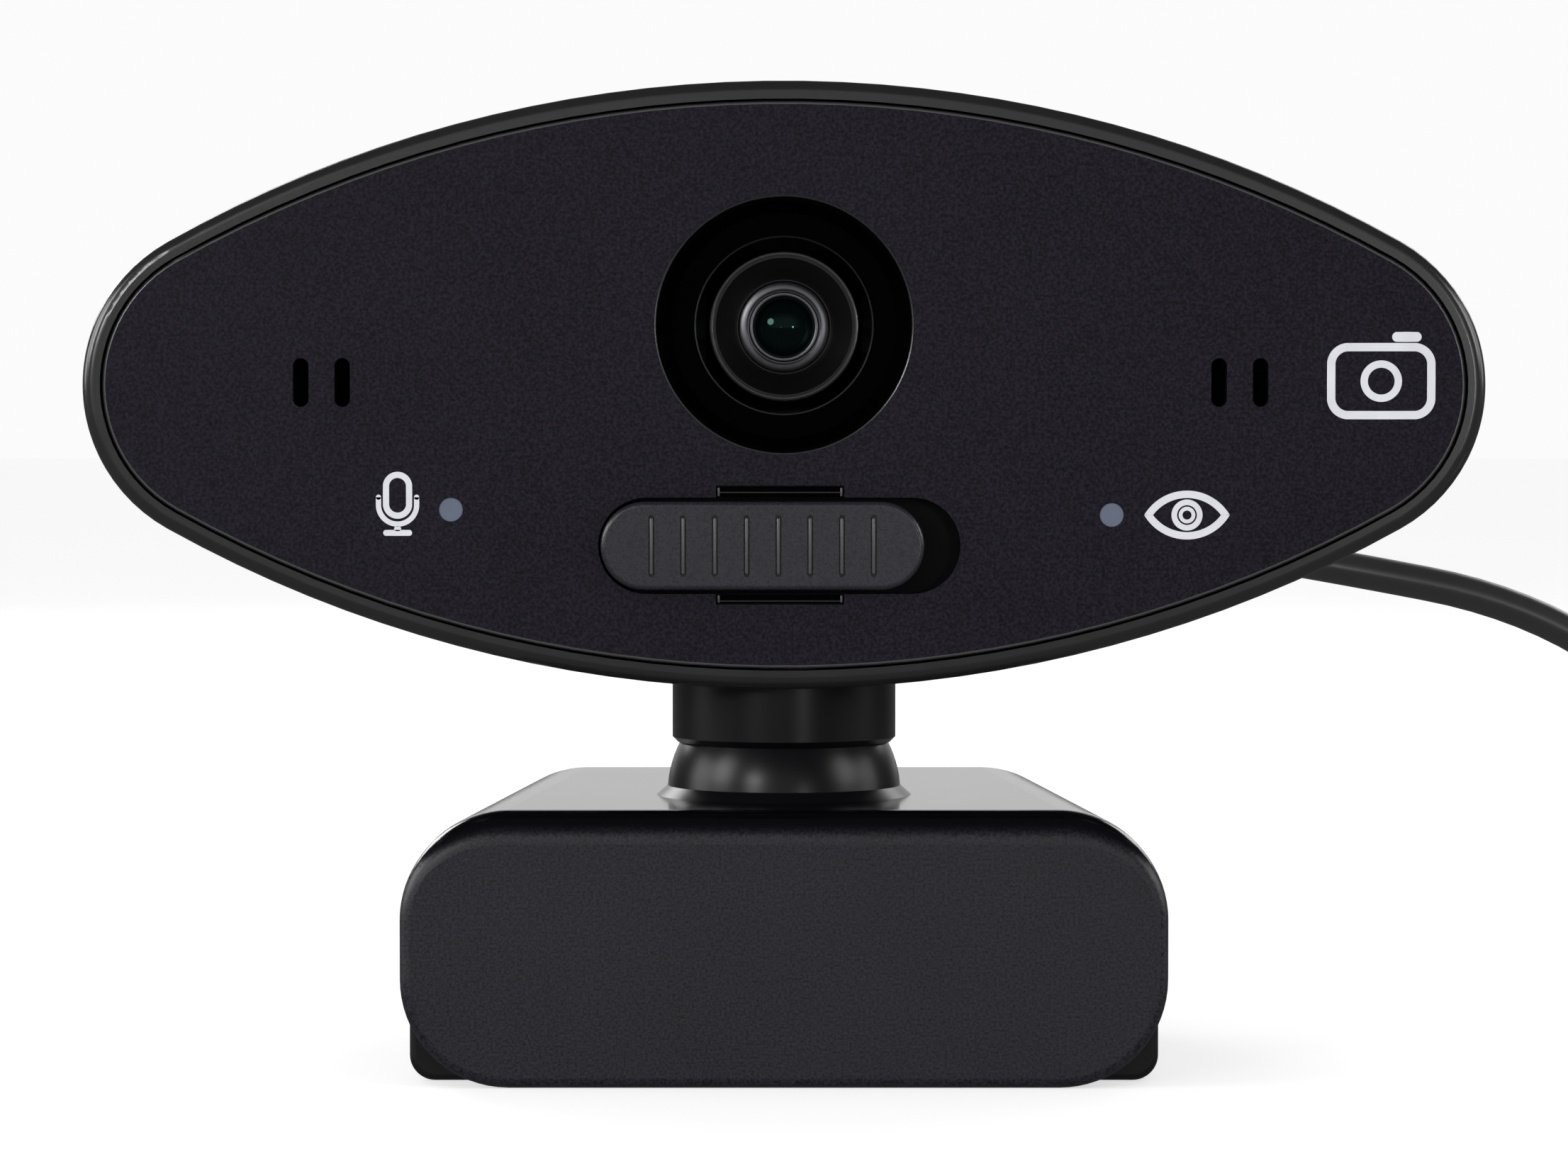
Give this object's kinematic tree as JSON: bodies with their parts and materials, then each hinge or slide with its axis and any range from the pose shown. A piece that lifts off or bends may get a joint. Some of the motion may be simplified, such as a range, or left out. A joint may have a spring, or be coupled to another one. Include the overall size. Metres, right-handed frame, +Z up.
{
  "type": "webcam",
  "caption": "Webcam with an oval head, sliding privacy shutter, ball neck and folding monitor clip that doubles as a desk foot.",
  "frame": {"origin": "mouth of the tripod thread under the folded clip, on the axis that the head pans about", "axes": "+X right when the lens looks at you, lens looks along -Y, +Z up"},
  "size_m": [0.1883, 0.0923, 0.0745],
  "materials": {
    "face_plastic": "soft-touch fine grain",
    "shell_plastic": "satin moulded",
    "gloss_black": "polished",
    "slider_plastic": "satin",
    "inner_black": "matt",
    "clip_plastic": "fine grain",
    "neck_plastic": "satin",
    "light_pipe": "frosted",
    "rubber_black": "smooth",
    "cable_jacket": "satin",
    "lens_glass": "coated",
    "ring_metal": "dark anodised",
    "steel": "plain",
    "black_steel": "black oxide",
    "brass": "machined",
    "board_green": "solder mask",
    "chip_black": "epoxy",
    "white_plastic": "plain",
    "filter_glass": "coated",
    "led_white": "plain"
  },
  "bodies": {
    "clip": {"clip_bracket": "clip_plastic", "lip_pad": "rubber_black", "plate_pads": "rubber_black", "hinge_pin": "steel", "hinge_washers": "steel"},
    "leg": {"folding_leg": "clip_plastic", "toe_foot": "rubber_black", "rear_feet": "rubber_black", "tripod_insert": "brass"},
    "turntable": {"ball_dome": "neck_plastic", "pan_washer": "white_plastic", "pan_screw": "steel"},
    "head": {"rear_housing": "shell_plastic", "front_cover": "face_plastic", "case_screws": "black_steel", "lens_well": "gloss_black", "lens_barrel": "inner_black", "retaining_ring": "ring_metal", "front_lens": "lens_glass", "inner_lenses": "lens_glass", "lens_spacers": "ring_metal", "lens_holder": "inner_black", "ir_filter": "filter_glass", "image_sensor": "chip_black", "main_board": "board_green", "board_screws": "steel", "holder_screws": "steel", "image_processor": "chip_black", "memory_chip": "chip_black", "clock_crystal": "steel", "voltage_regulator": "chip_black", "cable_header": "white_plastic", "status_leds": "led_white", "light_pipes": "light_pipe", "microphones": "steel", "microphone_boots": "rubber_black", "microphone_boards": "board_green", "neck_collar": "neck_plastic", "pivot_stud": "steel", "friction_cup": "white_plastic", "spring_washer": "steel", "stud_nut": "steel", "shutter_retainer": "inner_black", "retainer_screws": "steel", "strain_relief": "rubber_black", "cable_lead": "cable_jacket", "cable_coil": "cable_jacket", "cable_tail": "cable_jacket", "cable_tie": "rubber_black", "plug_overmould": "rubber_black", "plug_shell": "steel", "plug_tongue": "white_plastic"},
    "slider": {"privacy_slider": "slider_plastic", "slider_carrier": "inner_black"},
    "shutter": {"shutter_blade": "inner_black"}
  },
  "joints": [
    {"name": "leg_fold", "type": "hinge", "parent": "clip", "child": "leg", "pos_m": [0, 0.026, 0.009], "axis": [1, 0, 0], "range_deg": [0, 135]},
    {"name": "pan", "type": "hinge", "parent": "clip", "child": "turntable", "pos_m": [0, 0, 0.0204], "axis": [0, 0, 1], "continuous": true},
    {"name": "tilt", "type": "hinge", "parent": "turntable", "child": "head", "pos_m": [0, 0, 0.0204], "axis": [1, 0, 0], "range_deg": [-18, 18]},
    {"name": "privacy_slide", "type": "slide", "parent": "head", "child": "slider", "axis": [1, 0, 0], "range_m": [0, 0.0026]},
    {"name": "shutter_swing", "type": "hinge", "parent": "head", "child": "shutter", "pos_m": [-0.016, -0.00775, 0.0472], "axis": [0, 1, 0], "range_deg": [0, 36.01]}
  ],
  "couplings": [
    {"joint": "shutter_swing", "follows": "privacy_slide", "rad_per_m": 241.66}
  ]
}
